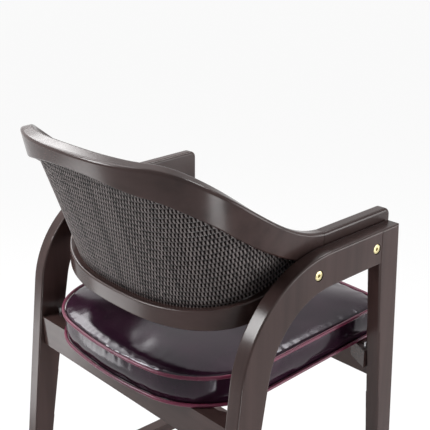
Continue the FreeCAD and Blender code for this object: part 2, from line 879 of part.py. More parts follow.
lower_sections = []
wicker_lower = []
for point, outward in lower_points:
    top, depth = lower_rail_form(point.y)
    outer_top = Vector(point.x, point.y, top)
    radius = s.band_bottom_radius.value
    lower_sections.append(
        band_section(outer_top, outward, 0.0, depth, s.lower_rail_thickness.value, radius, radius)
    )
    wicker_lower.append(outer_top - outward * s.wicker_lower_inset.value - Vector(0, 0, s.wicker_tuck.value))

lower_blank = add_shape("lower_back_rail_blank", Part.makeLoft(lower_sections, True, False))
nodes["lower_back_rail"] = cut("lower_back_rail", lower_blank, [
    insert_seat(f"lower_rail_insert_seat_{word}", side, s.bolt_rear_y) for word, side in SIDES.items()
])

# Wicker panel: a thin shell from the lower rail up to the crest, butted against both

WICKER_STEPS = 41


def even_points(points):
    """Evenly spaced points along one edge of the panel, which stops short of the chair's sides."""
    end_y = s.wicker_end_y.value
    inside = [index for index, point in enumerate(points) if point.y > end_y]
    ends = []
    for near, beyond in ((inside[0], inside[0] - 1), (inside[-1], inside[-1] + 1)):
        share = (end_y - points[beyond].y) / (points[near].y - points[beyond].y)
        ends.append(points[beyond] + (points[near] - points[beyond]) * share)
    curve = Part.BSplineCurve()
    curve.interpolate([ends[0]] + [points[index] for index in inside] + [ends[1]])
    return curve.toShape().discretize(WICKER_STEPS)


wicker_sections = []
lower_edge = even_points(wicker_lower)
upper_edge = even_points(wicker_upper)
for index, (low, high) in enumerate(zip(lower_edge, upper_edge)):
    before, after = max(index - 1, 0), min(index + 1, WICKER_STEPS - 1)
    along = lower_edge[after] + upper_edge[after] - lower_edge[before] - upper_edge[before]
    inward = along.cross(high - low)
    if inward.y > 0:
        inward = inward * -1
    inward = inward.normalize() * s.wicker_thickness.value
    wicker_sections.append(Part.makePolygon([low, high, high + inward, low + inward, low]))
wicker_blank = add_shape("wicker_panel_blank", Part.makeLoft(wicker_sections, True, False))
nodes["wicker_panel"] = cut("wicker_panel", wicker_blank, [crest_blank, lower_blank])

# Bolts through the side frames into threaded inserts
shank_length = s.frame_thickness - s.bolt_head_height - s.bolt_recess + s.insert_length - s.glue_gap * 20
bolt_pieces = []
insert_pieces = []
for word, side in SIDES.items():
    axis = "-x" if side == LEFT else "x"
    face = (half_outer - s.bolt_recess) * side
    for where, y in bolts:
        name = f"arm_bolt_{word}_{where}"
        z = band_middle(y)
        head = cylinder(name + "_head", (face, y, z), axis, s.bolt_head_radius, s.bolt_head_height)
        shank = cylinder(
            name + "_shank", (face, y, z), axis, s.bolt_shank_radius, s.bolt_head_height + shank_length
        )
        whole = doc.addObject("Part::Fuse", name + "_whole")
        whole.Base = head
        whole.Tool = shank
        socket = doc.addObject("Part::Prism", name + "_socket")
        socket.Polygon = 6
        socket.Placement = Placement(Vector(face.value, y.value, z.value), AXES[axis])
        socket.setExpression("Circumradius", s.bolt_socket_radius.text)
        socket.setExpression("Height", s.bolt_socket_depth.text)
        bind_place(socket, face, y, z)
        bolt_pieces.append(cut(name, whole, [socket]))
        name = f"bolt_insert_{word}_{where}"
        outside = cylinder(name + "_outside", insert_place(side, y), axis, s.insert_radius, s.insert_length)
        thread_radius = s.bolt_shank_radius + s.glue_gap
        bore = cylinder(name + "_bore", insert_place(side, y), axis, thread_radius, s.insert_length)
        insert_pieces.append(cut(name, outside, [bore]))
nodes["arm_bolts"] = group("arm_bolts", bolt_pieces)
nodes["bolt_inserts"] = group("bolt_inserts", insert_pieces)

# Glides: a nylon foot with a pin driven into the leg
for place, y in glide_places.items():
    for word, side in SIDES.items():
        label = f"foot_glide_{place}_{word}"
        pad_piece = cylinder(label + "_pad", (middle_x[side], y, 0), "z", s.glide_radius, s.glide_height)
        pin_height = s.glide_height + s.glide_pin_length
        pin = cylinder(label + "_pin", (middle_x[side], y, 0), "z", s.glide_pin_radius, pin_height)
        glide = doc.addObject("Part::Fuse", label)
        glide.Base = pad_piece
        glide.Tool = pin
        nodes[label] = glide

# Corner blocks in the angles between the seat rails and the legs, and the screws up into the board
screws = []
screw_holes = []
for place, rail_y, way in (
    ("rear", s.rear_rail_y - s.rear_rail_thickness, -1),
    ("front", s.front_rail_y, 1),
):
    low_y = rail_y if way == -1 else rail_y + s.block_along_leg
    top = seat_plane(low_y)
    bottom = top - s.block_height
    for word, side in SIDES.items():
        label = f"corner_block_{place}_{word}"
        outline = [
            (half_inner * side, rail_y),
            ((half_inner - s.block_along_rail) * side, rail_y),
            (half_inner * side, rail_y + s.block_along_leg * way),
        ]
        block = pad(label + "_blank", "XY_Plane", bottom, outline, s.block_height)
        spot = ((half_inner - s.screw_setback) * side, rail_y + s.screw_setback * way)
        length = seat_plane(spot[1]) - bottom + s.screw_bite
        hole_radius_here = s.screw_radius + s.glue_gap
        hole = cylinder(label + "_hole", (*spot, bottom), "z", hole_radius_here, length)
        nodes[label] = cut(label, block, [hole])
        head_z = bottom - s.screw_head_height
        name = f"seat_screw_{place}_{word}"
        screw = doc.addObject("Part::Fuse", name)
        screw.Base = cylinder(name + "_head", (*spot, head_z), "z", s.screw_head_radius, s.screw_head_height)
        whole = length + s.screw_head_height
        screw.Tool = cylinder(name + "_shank", (*spot, head_z), "z", s.screw_radius, whole)
        screws.append(screw)
        screw_holes.append(hole)
nodes["seat_screws"] = group("seat_screws", screws)

# Seat: drawn level, with its front edge on the X axis, then raked into place
seat_front_y = s.overall_depth / -2
seat_corner = Vector(0, seat_front_y.value, seat_plane(seat_front_y).value)
seat_place = Placement(seat_corner, Rotation(Vector(1, 0, 0), -s.seat_rake.value))
piping_room = s.piping_radius * 2 + s.seam_gap
cushion_half = half_inner - s.cushion_side_gap - piping_room
cushion_rear = s.cushion_depth - piping_room
half_diagonal = root(as_size(0.5))


def bowed_end(edge_y, way, bow, corner, inset):
    """Corner points of a bowed end: its tangent point, corner bend and side point, for positive X."""
    bow_y = edge_y - bow * way
    across = cushion_half - corner
    span = bow - corner
    corner_y_here = bow_y + root(span * span - across * across) * way
    radius = corner - inset
    share = (bow - inset) / span
    touch = (across * share, bow_y + (corner_y_here - bow_y) * share)
    bend = (across + radius * half_diagonal, corner_y_here + radius * half_diagonal * way)
    side_point = (cushion_half - inset, corner_y_here)
    return touch, bend, side_point, (Size(0.0, "0"), edge_y - inset * way)


def mirrored(point):
    return (-point[0], point[1])


def cushion_outline(inset):
    """Outline of the seat, set in from the boxing by an inset."""
    front = bowed_end(piping_room, -1, s.cushion_front_bow, s.cushion_front_radius, inset)
    rear = bowed_end(cushion_rear, 1, s.cushion_rear_bow, s.cushion_rear_radius, inset)
    return [
        (*front[0], front[3]),
        (*front[2], front[1]),
        rear[2],
        (*rear[0], rear[1]),
        (*mirrored(rear[0]), rear[3]),
        (*mirrored(rear[2]), mirrored(rear[1])),
        mirrored(front[2]),
        (*mirrored(front[0]), mirrored(front[1])),
    ]


def outline_wire(inset, height, scale):
    """The outline as a wire at a height, shrunk about the middle of the seat."""
    middle = Vector(0, (piping_room.value + cushion_rear.value) / 2, 0)

    def at(point):
        flat = Vector(point[0].value, point[1].value, 0)
        return middle + (flat - middle) * scale + Vector(0, 0, height)

    corners = cushion_outline(as_size(inset))
    edges = []
    for index, corner in enumerate(corners):
        start, end = at(corners[index - 1]), at(corner)
        if len(corner) == 3:
            edges.append(Part.Arc(start, at(corner[2]), end).toShape())
        else:
            edges.append(Part.LineSegment(start, end).toShape())
    return Part.Wire(edges)


def cushion_solid(inset, lowest):
    """The padded seat's form: boxing that swells between the seams, and a crowned top."""
    seam = s.boxing_height.value
    crown = s.crown_height.value - inset
    cord = s.piping_radius.value * 2
    swell = s.boxing_bulge.value
    belly = [(seam * share, swell * fullness) for share, fullness in ((0.3, 0.7), (0.5, 1.0), (0.7, 0.7))]
    waist = [(lowest, 0.0), (cord, 0.0), *belly, (seam - cord / 2, 0.0), (seam, 0.0)]
    sides = Part.makeLoft([outline_wire(inset - out, height, 1.0) for height, out in waist], True, False)
    layers = [(0.0, 0.0), (0.02, 0.14), (0.1, 0.42), (0.24, 0.7), (0.46, 0.9), (0.72, 0.985), (0.94, 1.0)]
    top = Part.makeLoft(
        [outline_wire(inset, seam + crown * rise_share, 1 - pull) for pull, rise_share in layers], True, False
    )
    return sides.fuse(top).removeSplitter()


board = pad("seat_board_blank", "XY_Plane", 0, cushion_outline(s.board_inset), s.board_thickness)
board.Placement = seat_place
nodes["seat_board"] = cut("seat_board", board, screw_holes)

inside = cushion_solid(s.cover_thickness.value, 0.0)
outside = cushion_solid(0.0, 0.0)
board_space = Part.makeBox(
    s.inner_width.value, s.cushion_depth.value, s.board_thickness.value, Vector(-half_inner.value, 0, 0)
)
foam = add_shape("seat_foam", inside.cut(board_space))
foam.Placement = seat_place
nodes["seat_foam"] = foam
cover = add_shape("seat_cover", outside.cut(inside))
cover.Placement = seat_place
nodes["seat_cover"] = cover


def piping(label, height):
    """A round cord laid along the boxing's seam."""
    path = outline_wire(-(s.piping_radius.value + s.seam_gap.value), height, 1.0)
    start = path.Edges[0].Vertexes[0].Point
    along = path.Edges[0].tangentAt(path.Edges[0].FirstParameter)
    ring = Part.Wire(Part.Circle(start, along, s.piping_radius.value).toShape())
    cord = add_shape(label, path.makePipeShell([ring], True, False))
    cord.Placement = seat_place
    return cord


nodes["bottom_piping"] = piping("bottom_piping", s.piping_radius.value)
nodes["top_piping"] = piping("top_piping", s.boxing_height.value)

doc.recompute()
broken = [piece.Name for piece in doc.Objects if {"Invalid", "Error"} & set(piece.State)]
broken += [label for label, piece in nodes.items() if piece.Shape.isNull() or not piece.Shape.isValid()]
if broken:
    raise RuntimeError(f"pieces that did not build: {broken}")

os.makedirs("parts", exist_ok=True)
for label, piece in nodes.items():
    piece.Label = label
    piece.Shape.exportStep(f"parts/{label}.step")
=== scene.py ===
"""Looks of a bar-height armchair: dark lacquered frames, a woven back and a piped leather seat."""

import logging
import math
from dataclasses import dataclass, field
from enum import Enum

import bpy
import numpy as np
from mathutils import Matrix, Vector
from mathutils.bvhtree import BVHTree
from mathutils.kdtree import KDTree


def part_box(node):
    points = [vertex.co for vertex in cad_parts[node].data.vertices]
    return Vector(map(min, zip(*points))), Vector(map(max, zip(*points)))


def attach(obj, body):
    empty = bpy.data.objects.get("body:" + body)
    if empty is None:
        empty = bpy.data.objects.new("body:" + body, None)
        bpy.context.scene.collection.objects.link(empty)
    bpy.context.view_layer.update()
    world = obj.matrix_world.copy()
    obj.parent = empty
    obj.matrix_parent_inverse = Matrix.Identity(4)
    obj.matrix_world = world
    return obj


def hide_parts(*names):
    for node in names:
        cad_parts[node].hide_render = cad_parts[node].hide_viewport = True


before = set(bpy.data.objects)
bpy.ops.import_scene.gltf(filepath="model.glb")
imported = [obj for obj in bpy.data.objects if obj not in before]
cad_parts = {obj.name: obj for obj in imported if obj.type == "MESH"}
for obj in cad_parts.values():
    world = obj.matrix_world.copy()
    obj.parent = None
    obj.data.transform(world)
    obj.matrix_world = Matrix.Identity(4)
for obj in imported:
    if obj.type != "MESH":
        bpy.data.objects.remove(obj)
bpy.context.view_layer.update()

LOG = logging.getLogger("bar_armchair")
ROOT = "root"
MM = 0.001
# Each strand's random tone, plus painted highlight where it stands out and painted shade where it lies deep.
STRAND_TONE_AND_LIGHT = "strand_tone_and_painted_light"

Colour = tuple[float, float, float]
Point = tuple[float, float, float]
Socket = bpy.types.NodeSocket
Material = bpy.types.Material
Mesh = bpy.types.Mesh
Piece = bpy.types.Object


class Grain(Enum):
    """The way a wooden piece's grain runs, as the stretch of its pattern along X, Y and Z."""

    ACROSS = (0.06, 1.0, 1.0)
    LENGTHWISE = (1.0, 0.06, 1.0)
    UPRIGHT = (1.0, 1.0, 0.06)


# Node materials


class Recipe:
    """A node material under construction, with its shader ready to be fed."""

    # Most of a noise pattern lies between these values.
    MIDDLE = (0.3, 0.7)

    def __init__(self, name: str) -> None:
        """Start an empty material that holds one principled shader.

        Args:
            name: The material's name.
        """
        self.material = bpy.data.materials.new(name)
        self.material.use_nodes = True
        self.tree = self.material.node_tree
        self.tree.nodes.clear()
        self.shader = self.tree.nodes.new("ShaderNodeBsdfPrincipled")
        self.output = self.tree.nodes.new("ShaderNodeOutputMaterial")
        self.tree.links.new(self.shader.outputs["BSDF"], self.output.inputs["Surface"])

    def set(self, **sockets: float | Colour) -> None:
        """Set the shader's constant sockets.

        Args:
            sockets: Values by socket name, with underscores for spaces.
        """
        for name, value in sockets.items():
            socket = self.shader.inputs[name.replace("_", " ")]
            socket.default_value = (*value, 1.0) if isinstance(value, tuple) else value

    def feed(self, socket: str, source: Socket) -> None:
        """Link a pattern to one of the shader's sockets."""
        self.tree.links.new(source, self.shader.inputs[socket])

    def node(self, kind: str, **inputs: object) -> bpy.types.Node:
        """Add a node and link or set its inputs.

        Args:
            kind: The node's type name, without its ShaderNode prefix.
            inputs: Values or output sockets by input name, with underscores for spaces.

        Returns:
            The new node.
        """
        made = self.tree.nodes.new("ShaderNode" + kind)
        for name, value in inputs.items():
            socket = made.inputs[name.replace("_", " ")]
            if isinstance(value, Socket):
                self.tree.links.new(value, socket)
            else:
                socket.default_value = value
        return made

    def place(self, stretch: Point = (1.0, 1.0, 1.0), output: str = "Object") -> Socket:
        """Coordinates for a pattern, stretched along the axes."""
        coordinate = self.node("TexCoord").outputs[output]
        return self.node("Mapping", Vector=coordinate, Scale=stretch).outputs["Vector"]

    def noise(self, place: Socket, scale: float, detail: float = 3.0) -> Socket:
        """A soft random pattern from 0 to 1."""
        return self.node("TexNoise", Vector=place, Scale=scale, Detail=detail).outputs["Fac"]

    def ramp(self, source: Socket, stops: list[tuple[float, Colour]]) -> Socket:
        """Colours along a pattern's values.

        Args:
            source: The pattern.
            stops: Places from 0 to 1 with their colours, in order.

        Returns:
            The colour socket.
        """
        made = self.node("ValToRGB", Fac=source)
        elements = made.color_ramp.elements
        while len(elements) < len(stops):
            elements.new(0.5)
        for element, (position, colour) in zip(elements, stops):
            element.position = position
            element.color = (*colour, 1.0)
        return made.outputs["Color"]

    def weigh(self, source: Socket, weight: float, under: Socket) -> Socket:
        """One pattern, scaled, on top of another.

        Args:
            source: The upper pattern.
            weight: How much of it counts.
            under: The lower pattern.

        Returns:
            The sum of the two.
        """
        made = self.node("Math")
        made.operation = "MULTIPLY_ADD"
        self.tree.links.new(source, made.inputs[0])
        made.inputs[1].default_value = weight
        self.tree.links.new(under, made.inputs[2])
        return made.outputs["Value"]

    def spread(self, source: Socket, low: float, high: float) -> Socket:
        """A pattern's middle values spread over a range.

        Args:
            source: The pattern.
            low: The range's lower end.
            high: The range's upper end.

        Returns:
            The spread values.
        """
        least, most = self.MIDDLE
        made = self.node("MapRange", Value=source, From_Min=least, From_Max=most, To_Min=low, To_Max=high)
        return made.outputs["Result"]

    def bump(self, height: Socket, depth: float, strength: float, under: Socket | None = None) -> Socket:
        """A relief from a pattern.

        Args:
            height: The pattern.
            depth: The relief's depth in metres.
            strength: How much of it shows.
            under: A relief that it lies over, if any.

        Returns:
            The bent normals.
        """
        made = self.node("Bump", Height=height, Distance=depth, Strength=strength)
        if under is not None:
            self.tree.links.new(under, made.inputs["Normal"])
        return made.outputs["Normal"]


@dataclass(frozen=True)
class Lacquer:
    """Dark satin lacquer over close-grained timber."""

    deep: Colour = (0.036, 0.0205, 0.0188)
    warm: Colour = (0.055, 0.0320, 0.0295)
    gloss_low: float = 0.16
    gloss_high: float = 0.25

    def build(self, grain: Grain) -> Material:
        """Make the finish for one way of the grain.

        Args:
            grain: The way the timber's grain runs.

        Returns:
            The material.
        """
        recipe = Recipe(f"lacquer_{grain.name.lower()}")
        figure = recipe.noise(recipe.place(grain.value), scale=38.0, detail=5.0)
        recipe.feed("Base Color", recipe.ramp(figure, [(0.32, self.deep), (0.68, self.warm)]))
        clouds = recipe.noise(recipe.place(), scale=14.0)
        recipe.feed("Roughness", recipe.spread(clouds, self.gloss_low, self.gloss_high))
        recipe.set(Specular_IOR_Level=0.22)
        return recipe.material


@dataclass(frozen=True)
class Cane:
    """Stained cane strands with fibre streaks along their length."""

    name: str
    shade: Colour
    light: Colour
    gloss: float
    shine: float
    gloss_range: float = 0.12

    def build(self) -> Material:
        """Make the finish, whose tone differs from strand to strand and carries painted highlight and shade.

        Returns:
            The material.
        """
        recipe = Recipe(self.name)
        tone = recipe.node("Attribute")
        tone.attribute_name = STRAND_TONE_AND_LIGHT
        along = recipe.place(stretch=(6.0, 260.0, 1.0), output="UV")
        streaks = recipe.noise(along, scale=1.0, detail=2.0)
        blotches = recipe.noise(recipe.place(), scale=170.0)
        streaked = recipe.weigh(streaks, weight=0.4, under=tone.outputs["Fac"])
        patched = recipe.weigh(blotches, weight=0.8, under=streaked)
        recipe.feed("Base Color", recipe.ramp(patched, [(0.5, self.shade), (0.98, self.light)]))
        recipe.feed("Normal", recipe.bump(streaks, depth=0.0003, strength=0.35))
        recipe.feed("Roughness", recipe.spread(blotches, self.gloss, self.gloss + self.gloss_range))
        recipe.set(Specular_IOR_Level=self.shine)
        return recipe.material


@dataclass(frozen=True)
class Leather:
    """Glossy dyed leather with a fine pebble grain and soft creases."""

    name: str
    deep: Colour
    worn: Colour
    gloss: float
    coat: float
    gloss_range: float = 0.09

    def build(self) -> Material:
        """Make the finish.

        Returns:
            The material.
        """
        recipe = Recipe(self.name)
        here = recipe.place()
        clouds = recipe.noise(here, scale=9.0, detail=4.0)
        recipe.feed("Base Color", recipe.ramp(clouds, [(0.35, self.deep), (0.75, self.worn)]))
        pebbles = recipe.node("TexVoronoi", Vector=here, Scale=620.0).outputs["Distance"]
        creases = recipe.bump(recipe.noise(here, scale=85.0, detail=5.0), depth=0.0008, strength=0.16)
        recipe.feed("Normal", recipe.bump(pebbles, depth=0.00025, strength=0.16, under=creases))
        recipe.feed("Roughness", recipe.spread(clouds, self.gloss, self.gloss + self.gloss_range))
        recipe.set(Coat_Weight=self.coat, Coat_Roughness=0.1, Specular_IOR_Level=0.22)
        recipe.set(Specular_Tint=(0.93, 0.9, 1.0))
        return recipe.material


@dataclass(frozen=True)
class TurnedMetal:
    """Bare metal with fine tool marks."""

    name: str
    colour: Colour
    tarnish: Colour
    gloss: float
    gloss_range: float = 0.12

    def build(self) -> Material:
        """Make the finish.

        Returns:
            The material.
        """
        recipe = Recipe(self.name)
        clouds = recipe.noise(recipe.place(), scale=160.0, detail=4.0)
        marks = recipe.noise(recipe.place(stretch=(1.0, 1.0, 14.0)), scale=900.0, detail=2.0)
        recipe.feed("Base Color", recipe.ramp(clouds, [(0.3, self.tarnish), (0.6, self.colour)]))
        recipe.feed("Roughness", recipe.spread(clouds, self.gloss, self.gloss + self.gloss_range))
        recipe.feed("Normal", recipe.bump(marks, depth=0.00005, strength=0.2))
        recipe.set(Metallic=1.0)
        return recipe.material


@dataclass(frozen=True)
class Plain:
    """A raw or moulded stuff with a mottled tone: bare timber, foam or nylon."""

    name: str
    shade: Colour
    light: Colour
    gloss: float
    stretch: Point = (1.0, 1.0, 1.0)
    scale: float = 60.0
    relief: float = 0.0003
    gloss_range: float = 0.1

    def build(self) -> Material:
        """Make the finish.

        Returns:
            The material.
        """
        recipe = Recipe(self.name)
        mottle = recipe.noise(recipe.place(self.stretch), self.scale, detail=5.0)
        recipe.feed("Base Color", recipe.ramp(mottle, [(0.3, self.shade), (0.7, self.light)]))
        recipe.feed("Normal", recipe.bump(mottle, self.relief, strength=0.3))
        recipe.feed("Roughness", recipe.spread(mottle, self.gloss, self.gloss + self.gloss_range))
        return recipe.material


# One cane in two copies: the stakes are painted lighter as highlight, the weavers painted darker as shade.
STAKE_CANE_PAINTED_LIGHT = Cane("stake_cane_painted_light", (0.020, 0.017, 0.017), (0.21, 0.180, 0.176), gloss=0.32, shine=0.4)
WEAVER_CANE_PAINTED_SHADE = Cane("weaver_cane_painted_shade", (0.004, 0.0035, 0.0038), (0.016, 0.012, 0.012), gloss=0.6, shine=0.05)
BRASS = TurnedMetal("pale_brass", (0.56, 0.50, 0.29), (0.37, 0.31, 0.15), gloss=0.34)
STEEL = TurnedMetal("zinc_plate", (0.55, 0.55, 0.56), (0.40, 0.40, 0.42), gloss=0.30)
BEECH = Plain(
    "bare_beech", (0.42, 0.26, 0.14), (0.60, 0.41, 0.24), gloss=0.55, stretch=(0.1, 1.0, 1.0), scale=90.0
)
PLYWOOD = Plain(
    "raw_plywood", (0.38, 0.27, 0.16), (0.55, 0.42, 0.27), gloss=0.6, stretch=(0.1, 1.0, 6.0), scale=70.0
)
FOAM = Plain("seat_foam", (0.72, 0.66, 0.46), (0.86, 0.80, 0.60), gloss=0.85, scale=400.0, relief=0.001)
NYLON = Plain(
    "moulded_nylon", (0.018, 0.018, 0.018), (0.03, 0.03, 0.03), gloss=0.42, scale=300.0, relief=0.0001
)
SEAT_LEATHER = Leather(
    "oxblood_leather", (0.008, 0.0028, 0.0066), (0.027, 0.0078, 0.019), gloss=0.12, coat=0.14
)
CORD_LEATHER = Leather("red_piping", (0.085, 0.011, 0.028), (0.17, 0.030, 0.062), gloss=0.24, coat=0.1)


# Mesh helpers


def start_fresh() -> None:
    """Leave edit mode and deselect everything, so that the next operator meets only its own piece."""
    if bpy.context.mode != "OBJECT":
        bpy.ops.object.mode_set(mode="OBJECT")
    bpy.ops.object.select_all(action="DESELECT")


def take(piece: Piece) -> None:
    """Make one piece the only selected and active object.

    Args:
        piece: The piece.
    """
    start_fresh()
    piece.select_set(True)
    bpy.context.view_layer.objects.active = piece


def open_mesh() -> None:
    """Enter edit mode with the whole mesh selected."""
    bpy.ops.object.mode_set(mode="EDIT")
    bpy.ops.mesh.select_all(action="SELECT")


def bring_in(name: str, data: bpy.types.ID) -> Piece:
    """Put a new object in the scene.

    Args:
        name: Its name.
        data: Its mesh, curve, lamp or camera.

    Returns:
        The object.
    """
    piece = bpy.data.objects.new(name, data)
    bpy.context.scene.collection.objects.link(piece)
    return piece


def apply_modifiers(piece: Piece) -> None:
    """Apply a piece's modifiers in order.

    Args:
        piece: The piece, which is left selected and active.
    """
    take(piece)
    for modifier in list(piece.modifiers):
        bpy.ops.object.modifier_apply(modifier=modifier.name)


def coordinates(mesh: Mesh, what: str = "co") -> np.ndarray:
    """A mesh's vertices as rows of X, Y and Z.

    Args:
        mesh: The mesh.
        what: Which triple of each vertex to read.

    Returns:
        One row for each vertex.
    """
    values = np.empty(len(mesh.vertices) * 3)
    mesh.vertices.foreach_get(what, values)
    return values.reshape(-1, 3)


def facings(mesh: Mesh) -> np.ndarray:
    """The outward direction at each of a mesh's vertices."""
    return coordinates(mesh, "normal")


def move_vertices(mesh: Mesh, rows: np.ndarray) -> None:
    """Put a mesh's vertices at new places."""
    mesh.vertices.foreach_set("co", rows.astype(np.float32).ravel())
    mesh.update()


def dress(piece: Piece, material: Material) -> None:
    """Give a piece one material."""
    piece.data.materials.clear()
    piece.data.materials.append(material)


def hand_over(piece: Piece, slot: str, *nodes: str) -> None:
    """Ride a new piece on the chair, in place of the CAD nodes it stands for.

    Args:
        piece: The finished piece.
        slot: The record's material slot. Not used.
        nodes: The CAD nodes that it replaces.
    """
    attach(piece, ROOT)
    if nodes:
        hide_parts(*nodes)
    LOG.info("%s: %d faces", piece.name, len(piece.data.polygons))


def surface_of(node: str) -> BVHTree:
    """The surface of a CAD node, for casting rays at.

    Args:
        node: The node's name.

    Returns:
        A search tree of its faces.
    """
    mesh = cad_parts[node].data
    vertices = [tuple(v) for v in coordinates(mesh)]
    return BVHTree.FromPolygons(vertices, [tuple(p.vertices) for p in mesh.polygons])


def search_tree(points: list[Vector]) -> KDTree:
    """A tree that finds the nearest of some points.

    Args:
        points: The points.

    Returns:
        The balanced tree.
    """
    tree = KDTree(len(points))
    for index, point in enumerate(points):
        tree.insert(point, index)
    tree.balance()
    return tree


# The woven back


@dataclass
class PanelSurface:
    """The wicker panel's middle surface, read from its CAD node and unrolled into a flat sheet.

    Rays from an upright axis find the panel. A straight line is fitted to each upright column of hits,
    and the columns are laid side by side in a plane, so that a flat weave wraps round the back as a real
    one does.
    """

    node: str = "wicker_panel"
    columns: int = 361
    levels: int = 161
    half_thickness: float = 2.0 * MM
    axis_inset: float = 5.0 * MM
    halvings: int = 24
    end_slack: float = 0.01
    feet: np.ndarray = field(init=False)
    heads: np.ndarray = field(init=False)
    lows: np.ndarray = field(init=False)
    highs: np.ndarray = field(init=False)
    flat_feet: np.ndarray = field(init=False)
    flat_heads: np.ndarray = field(init=False)

    def __post_init__(self) -> None:
        """Cast the rays, fit the columns and unroll them from the middle of the back."""
        low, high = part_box(self.node)
        axis_y = low[1] + self.axis_inset
        surface = surface_of(self.node)
        heights = np.linspace(low[2], high[2], self.levels)
        feet, heads, lows, highs = [], [], [], []
        for angle in np.linspace(math.pi, 0.0, self.columns):
            way = Vector((math.cos(angle), math.sin(angle), 0.0))
            hits = [(z, surface.ray_cast(Vector((0.0, axis_y, z)), way)[3]) for z in heights]
            seen = [(z, reach) for z, reach in hits if reach is not None]
            line = np.polyfit(*zip(*seen), 1)
            for ends, z in ((feet, low[2]), (heads, high[2])):
                reach = np.polyval(line, z) + self.half_thickness
                ends.append((reach * way.x, axis_y + reach * way.y, z))
            lows.append(seen[0][0])
            highs.append(seen[-1][0])
        self.feet, self.heads = np.array(feet), np.array(heads)
        self.lows, self.highs = np.array(lows), np.array(highs)
        self._unroll()

    def _unroll(self) -> None:
        """Lay the columns in a plane, keeping every length between neighbours."""
        middle = self.columns // 2
        self.flat_feet, self.flat_heads = np.zeros((2, self.columns, 2))
        self.flat_heads[middle, 1] = np.linalg.norm(self.heads[middle] - self.feet[middle])
        for step in (1, -1):
            last = self.columns if step > 0 else -1
            for i in range(middle + step, last, step):
                foot, head = self.flat_feet[i - step], self.flat_heads[i - step]
                self.flat_feet[i] = self._apex(
                    foot,
                    head,
                    self._gap(self.feet, self.feet, i, step),
                    self._gap(self.feet, self.heads, i, step),
                    step,
                )
                self.flat_heads[i] = self._apex(
                    self.flat_feet[i],
                    head,
                    float(np.linalg.norm(self.heads[i] - self.feet[i])),
                    self._gap(self.heads, self.heads, i, step),
                    step,
                )

    @staticmethod
    def _gap(ends: np.ndarray, others: np.ndarray, index: int, step: int) -> float:
        """Distance from one column's end to an end of the column before it."""
        return float(np.linalg.norm(ends[index] - others[index - step]))

    @staticmethod
    def _apex(low: np.ndarray, high: np.ndarray, to_low: float, to_high: float, side: int) -> np.ndarray:
        """The third corner of a flat triangle.

        Args:
            low: Its lower corner.
            high: Its upper corner.
            to_low: Distance of the third corner from the lower one.
            to_high: Distance of the third corner from the upper one.
            side: 1 where the third corner lies on the right, -1 on the left.

        Returns:
            The corner.
        """
        edge = high - low
        length = np.linalg.norm(edge)
        edge = edge / length
        up = (to_low**2 - to_high**2 + length**2) / (2 * length)
        out = math.sqrt(max(to_low**2 - up**2, 0.0))
        return low + edge * up + np.array([edge[1], -edge[0]]) * out * side

    def _find(self, flat: np.ndarray) -> tuple[np.ndarray, np.ndarray]:
        """Which column a flat place lies on, and how far up it.

        Args:
            flat: Rows of places in the plane.

        Returns:
            Column numbers with fractions, and shares of the column's length.
        """
        lowest, highest = np.zeros(len(flat)), np.full(len(flat), self.columns - 1.0)
        for _ in range(self.halvings):
            column = (lowest + highest) / 2
            foot, head = self._between(self.flat_feet, column), self._between(self.flat_heads, column)
            edge, reach = head - foot, flat - foot
            right = edge[:, 0] * reach[:, 1] - edge[:, 1] * reach[:, 0] < 0
            lowest, highest = np.where(right, column, lowest), np.where(right, highest, column)
        share = (edge * reach).sum(axis=1) / (edge**2).sum(axis=1)
        return column, share

    def _between(self, rows: np.ndarray, column: np.ndarray) -> np.ndarray:
        """Rows of a table of columns at fractional column numbers."""
        numbers = np.arange(self.columns)
        return np.stack([np.interp(column, numbers, rows[:, k]) for k in range(rows.shape[1])], axis=1)

    def wrap(self, flat: np.ndarray, margin: float) -> tuple[np.ndarray, np.ndarray]:
        """Wrap flat places round the panel.

        Args:
            flat: Rows of two places in the plane and a distance out of it.
            margin: How far past the panel's edges, into the rails, a place still counts as on the panel.

        Returns:
            Rows of X, Y and Z, and whether each place is on the panel.
        """
        column, share = self._find(flat[:, :2])
        up = share[:, None]
        last = self.columns - 1.0
        foot, head = self._between(self.feet, column), self._between(self.heads, column)
        here = foot + (head - foot) * up
        nudged = [np.clip(column + step, 0.0, last) for step in (1.0, -1.0)]
        ahead, behind = (
            self._between(self.feet, c) * (1 - up) + self._between(self.heads, c) * up for c in nudged
        )
        outward = np.cross(ahead - behind, head - foot)
        outward /= np.linalg.norm(outward, axis=1)[:, None]
        low = np.interp(column, np.arange(self.columns), self.lows) - margin
        high = np.interp(column, np.arange(self.columns), self.highs) + margin
        between_ends = (column > self.end_slack) & (column < last - self.end_slack)
        on_panel = (here[:, 2] > low) & (here[:, 2] < high) & between_ends
        return here - outward * flat[:, 2:3], on_panel


@dataclass(frozen=True)
class Strands:
    """One of the weave's two sets of strands, with the height of its first strand's first crossing."""

    name: str
    pitch: float
    width: float
    depth: float
    wave: float
    upright: bool
    finish: Cane


STAKES = Strands(
    "cane_stakes", pitch=2.95 * MM, width=2.75 * MM, depth=1.6 * MM, wave=-1.45 * MM,
    upright=True, finish=STAKE_CANE_PAINTED_LIGHT,
)
WEAVERS = Strands(
    "cane_weavers", pitch=8.3 * MM, width=7.3 * MM, depth=1.7 * MM, wave=0.25 * MM,
    upright=False, finish=WEAVER_CANE_PAINTED_SHADE,
)


